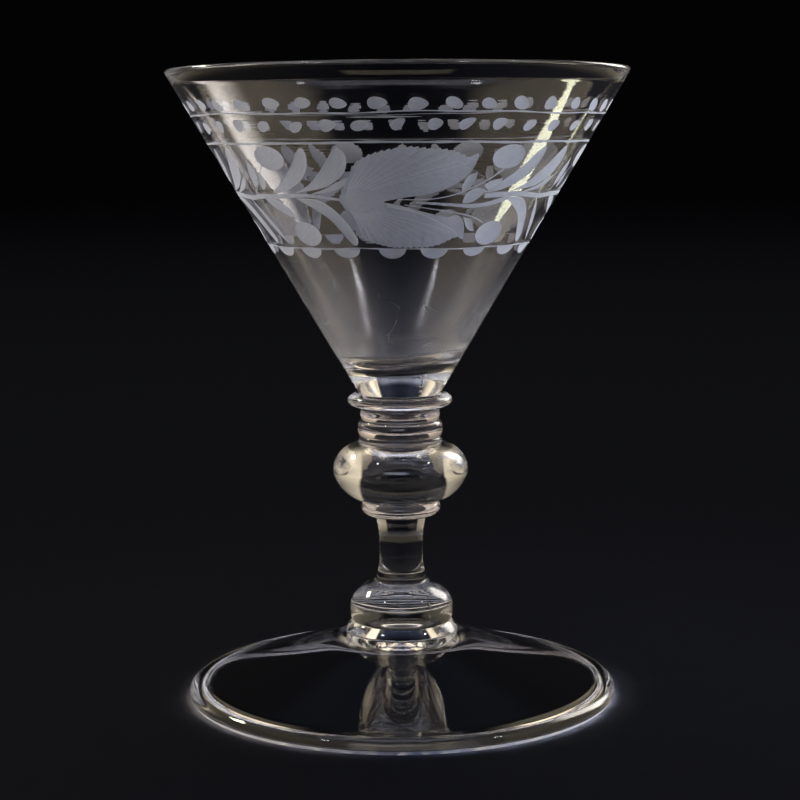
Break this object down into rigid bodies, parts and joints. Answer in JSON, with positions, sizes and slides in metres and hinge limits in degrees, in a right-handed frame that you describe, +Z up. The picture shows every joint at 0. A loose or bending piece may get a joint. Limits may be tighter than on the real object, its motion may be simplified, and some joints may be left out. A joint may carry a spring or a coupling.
{
  "type": "funnel cup",
  "caption": "Hand-made stem glass with a wide engraved funnel bowl on a ringed and knopped stem and a conical foot with a folded rim, for drinking.",
  "frame": {"origin": "on the resting plane, under the axis of the glass", "axes": "+Z up along the axis of the glass, -Y towards the viewer of the picture, +X to the viewer's right"},
  "size_m": [0.0944, 0.0944, 0.13],
  "materials": {
    "bowl_glass": "clear blown glass with a faint mauve cast and wheel-engraved matt ornament",
    "stem_glass": "clear fire-polished glass with a faint mauve cast",
    "foot_glass": "clear blown glass with a faint mauve cast, lightly worn where it rests"
  },
  "bodies": {
    "root": {"bowl": "bowl_glass", "upper_merese": "stem_glass", "upper_ring": "stem_glass", "middle_ring": "stem_glass", "lower_ring": "stem_glass", "ball_knop": "stem_glass", "lower_merese": "stem_glass", "stem": "stem_glass", "basal_knop": "stem_glass", "foot_collar": "stem_glass", "foot": "foot_glass"}
  },
  "joints": []
}
